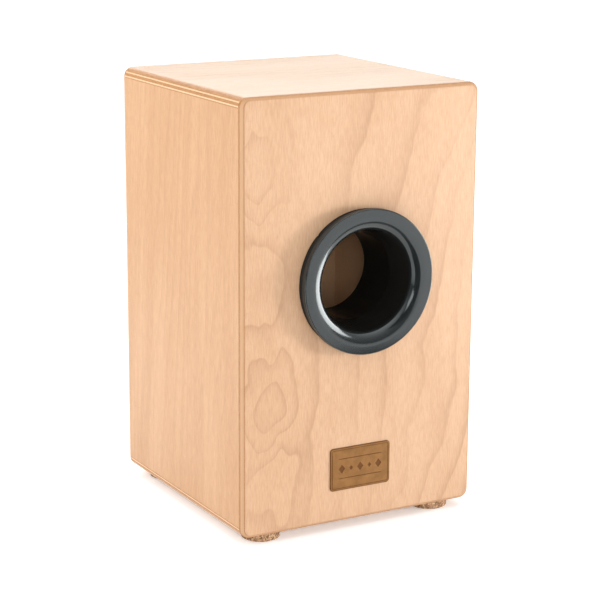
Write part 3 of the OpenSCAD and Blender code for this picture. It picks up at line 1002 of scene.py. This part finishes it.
def throat():
    """The black cone behind the rim, with the socket for the pipe and the stem through the hole."""
    socket = BORE_R + 2 * PIPE_WALL
    cone_steps = 8
    cone = []
    for i in range(cone_steps + 1):
        h = THROAT_TOP + (PIPE_START - THROAT_TOP) * i / cone_steps
        cone.append((cone_r(h), h))
    profile = cone + [
        (BORE_R + PIPE_WALL, PIPE_START), (BORE_R + PIPE_WALL, THROAT_END),
        (socket - 0.6 * MM, THROAT_END), (socket, THROAT_END + 0.6 * MM),
        (socket, -15 * MM), (STEM_R, -11 * MM), (STEM_R, 3 * MM), (SEAT_R, THROAT_TOP),
    ]
    ring_piece("throat_shell", profile, 160, "pipe", ["tube_throat"])


def pipe():
    """The straight pipe that reaches into the box."""
    lip = 0.5 * MM
    wall = BORE_R + PIPE_WALL
    profile = [
        (BORE_R, PIPE_START), (BORE_R, PIPE_END + lip), (BORE_R + lip, PIPE_END),
        (wall - lip, PIPE_END), (wall, PIPE_END + lip), (wall, PIPE_START),
    ]
    ring_piece("pipe_shell", profile, 160, "pipe", ["tube_pipe"])


def gasket():
    """A foam strip bent into a ring: its two ends meet in a narrow seam at the upper left."""
    seam = math.radians(136)
    gap = math.radians(0.22)
    count = 180
    pinch_depth, pinch_fade = 0.008, 1.4
    lower = [(GASKET_R - inset, drop) for inset, drop in reversed(round_over(GASKET_ROUND, 4))]
    upper = [(r, RIM_BACK - h) for r, h in reversed(lower)]
    # Known fault: both rows run the wrong way, so the section crosses itself at its outer edges.
    profile = [(GASKET_IN, 0.0), (GASKET_IN, RIM_BACK)] + upper + lower
    rows = []
    for i in range(count + 1):
        a = seam + gap + (TURN - 2 * gap) * i / count
        pinch = 1 - pinch_depth * math.exp(-min(i, count - i) * pinch_fade)
        c, s = pinch * math.cos(a), pinch * math.sin(a)
        rows.append([TUBE @ Vector((r * c, r * s, h)) for r, h in profile])
    bm = bmesh.new()
    skin(bm, rows, "cap")
    to_piece("gasket_ring", bm, "foam", "bass_tube", ["tube_gasket"], 50)


rim()
throat()
pipe()
gasket()
finish_node("tube_grip_ring", "foam", "foam_black")


# ---------------------------------------------------------------- snare

def snare_wires(side):
    """Twenty coil springs in place of the plain rods, each wound from thin wire."""
    wire_r = 0.18 * MM
    pitch = 1.25 * MM
    per_turn = 8
    node = "snare_wires_" + side
    bm = bmesh.new()
    for low, high in solids(node):
        middle = (low + high) / 2
        coil_r = (high.x - low.x) / 2 - wire_r
        turns = (high.z - low.z - 2 * wire_r) / pitch
        rows = []
        for i in range(int(turns * per_turn) + 1):
            a = TURN * i / per_turn
            z = low.z + wire_r + pitch * i / per_turn
            out = Vector((math.cos(a), math.sin(a), 0))
            centre = Vector((middle.x, middle.y, z)) + out * coil_r
            square = [out * wire_r * c + Vector((0, 0, wire_r * s)) for c, s in circle(4)]
            rows.append([centre + corner for corner in square])
        skin(bm, rows, "cap")
    to_piece("snare_coils_" + side, bm, "snare", "snare_unit", [node], 80)


for side in ("left", "right"):
    snare_wires(side)
    finish_node("snare_strip_" + side, "snare", "snare_steel", 0.15 * MM)
    finish_node("snare_pin_" + side, "bar", "batten_wood")
finish_node("snare_bar", "bar", "batten_wood", 0.5 * MM)
finish_node("snare_strip_screws", "screw", "screw_steel")


# ---------------------------------------------------------------- stage, light and camera

WHITE = rgb(1.0, 1.0, 1.0)
FLOOR_REACH = 30.0
FLOOR_GLOW = 0.1
FLOOR_EXTRA_TO_CAMERA = 0.18
SKY_AT_HORIZON = 0.15
SKY_EXTRA_OVERHEAD = 1.7
MIDDLE = (0, 0, 0.27)
RING = (0, REAR_Y, TUBE_Z)

# Place, aim, width, height, power in watts, and whether glossy surfaces show the lamp
LAMPS = {
    "key": ((2.2, -1.4, 0.26), MIDDLE, 0.5, 0.5, 40, False),
    "left_top": ((-1.1, 0.5, 0.8), (-0.15, 0, 0.35), 0.6, 0.6, 7, False),
    "camera_fill": ((-0.95, -2.2, 0.78), MIDDLE, 1.0, 0.8, 23.5, False),
    "rear_top": ((0.7, 1.9, 1.3), (0, 0, 0.5), 1.6, 0.9, 12, True),
}

# Place, aim, width, height and glow. side_shade keeps white_card out of the right side's gloss.
CARDS = {
    "white_card": ((0.50, -0.32, 0.25), RING, 0.42, 0.42, 8.0),
    "side_shade": ((0.36, REAR_Y - 8 * MM, 0.25), (0.36, 1, 0.25), 0.40, 0.8, 0.0),
    "black_card": ((-0.075, -0.45, 0.25), (-0.075, REAR_Y, 0.25), 0.29, 0.50, 0.0),
    "fill_card": ((-0.1235, -0.408, 0.353), RING, 0.13, 0.104, 3.0),
    "low_card": ((0.25, -0.45, 0.065), (0.25, REAR_Y, 0.065), 0.36, 0.12, 0.15),
}

# The eye's place is from the middle of the box's footprint and from the box's lower edge.
YAW, PITCH, ROLL = (math.radians(a) for a in (29.42, 13.82, 0.32))
EYE = Vector((-1.0914, -1.9445, 0.7723))
LENS = 117.06


def stage_floor():
    """A pale floor, a little luminous to the object and more so to the camera."""
    bm = bmesh.new()
    bmesh.ops.create_grid(bm, x_segments=8, y_segments=8, size=FLOOR_REACH)
    mesh = bpy.data.meshes.new("studio_floor")
    bm.to_mesh(mesh)
    bm.free()
    g = Graph("studio_floor")
    grit = g.noise(g.spot(), 40.0, 3.0)
    seen = g.node("LightPath").outputs["Is Camera Ray"]
    mesh.materials.append(g.surface(
        Base_Color=g.mix(grit, rgb(0.90, 0.90, 0.90), rgb(0.92, 0.92, 0.92)),
        Roughness=0.7,
        Specular_IOR_Level=0.2,
        Emission_Color=WHITE,
        Emission_Strength=g.math("MULTIPLY_ADD", seen, FLOOR_EXTRA_TO_CAMERA, FLOOR_GLOW),
    ))
    floor = bpy.data.objects.new("studio_floor", mesh)
    bpy.context.scene.collection.objects.link(floor)


def aimed(name, data, place, aim):
    """Puts a lamp or a card in the studio, facing the aim."""
    thing = bpy.data.objects.new(name, data)
    thing.location = place
    thing.rotation_mode = "QUATERNION"
    thing.rotation_quaternion = (Vector(aim) - Vector(place)).to_track_quat("-Z", "Y")
    thing.visible_camera = False
    bpy.context.scene.collection.objects.link(thing)
    return thing


def softbox(name, place, aim, width, height, power, glossy):
    lamp = bpy.data.lights.new(name, "AREA")
    lamp.shape = "RECTANGLE"
    lamp.size, lamp.size_y = width, height
    lamp.energy = power
    aimed(name, lamp, place, aim).visible_glossy = glossy


def card(name, place, aim, width, height, glow):
    """A white or black card that shows in glossy surfaces only."""
    bm = bmesh.new()
    bmesh.ops.create_grid(bm, x_segments=1, y_segments=1, size=0.5)
    bm.transform(Matrix.Diagonal((width, height, 1.0, 1.0)))
    mesh = bpy.data.meshes.new(name)
    bm.to_mesh(mesh)
    bm.free()
    g = Graph(name)
    light = g.node("Emission", {"Strength": glow})
    g.tree.links.new(light.outputs[0], g.node("OutputMaterial").inputs[0])
    mesh.materials.append(g.material)
    thing = aimed(name, mesh, place, aim)
    thing.visible_diffuse = False
    thing.visible_shadow = False
    thing.visible_transmission = False


def dome():
    """The world: a dome that is brightest overhead, and plain white to the camera."""
    world = bpy.data.worlds.new("studio")
    bpy.context.scene.world = world
    world.use_nodes = True
    tree = world.node_tree
    sky = tree.nodes["Background"]
    sky.inputs["Color"].default_value = WHITE

    def node(kind, **settings):
        made = tree.nodes.new("ShaderNode" + kind)
        for key, value in settings.items():
            setattr(made, key, value)
        return made

    split = node("SeparateXYZ")
    tree.links.new(node("TexCoord").outputs["Generated"], split.inputs[0])
    climb = node("Math", operation="MAXIMUM")
    climb.inputs[1].default_value = 0.0
    tree.links.new(split.outputs["Z"], climb.inputs[0])
    square = node("Math", operation="MULTIPLY")
    for socket in (0, 1):
        tree.links.new(climb.outputs[0], square.inputs[socket])
    glow = node("Math", operation="MULTIPLY_ADD")
    glow.inputs[1].default_value = SKY_EXTRA_OVERHEAD
    glow.inputs[2].default_value = SKY_AT_HORIZON
    tree.links.new(square.outputs[0], glow.inputs[0])
    seen = node("Mix", data_type="FLOAT")
    tree.links.new(node("LightPath").outputs["Is Camera Ray"], seen.inputs[0])
    tree.links.new(glow.outputs[0], seen.inputs[2])
    seen.inputs[3].default_value = 1.0
    tree.links.new(seen.outputs[0], sky.inputs["Strength"])


def camera():
    """The photograph's viewing angle: from behind and to the left, a little above."""
    forward = Vector((
        math.sin(YAW) * math.cos(PITCH), math.cos(YAW) * math.cos(PITCH), -math.sin(PITCH),
    ))
    level = Vector((math.cos(YAW), -math.sin(YAW), 0))
    upright = level.cross(forward)
    right = level * math.cos(ROLL) + upright * math.sin(ROLL)
    above = upright * math.cos(ROLL) - level * math.sin(ROLL)
    data = bpy.data.cameras.new("camera")
    data.sensor_width = 36
    data.lens = LENS
    data.clip_start, data.clip_end = 0.05, 100
    eye = bpy.data.objects.new("camera", data)
    place = Vector((0, (BACK_LOW.y + FRONT_HIGH.y) / 2, BOX_LOW_Z)) + EYE
    turn = Matrix((right, above, -forward)).transposed().to_4x4()
    eye.matrix_world = Matrix.Translation(place) @ turn
    bpy.context.scene.collection.objects.link(eye)
    bpy.context.scene.camera = eye


stage_floor()
dome()
for name, settings in LAMPS.items():
    softbox(name, *settings)
for name, settings in CARDS.items():
    card(name, *settings)
bpy.context.scene.view_settings.view_transform = "Standard"
camera()
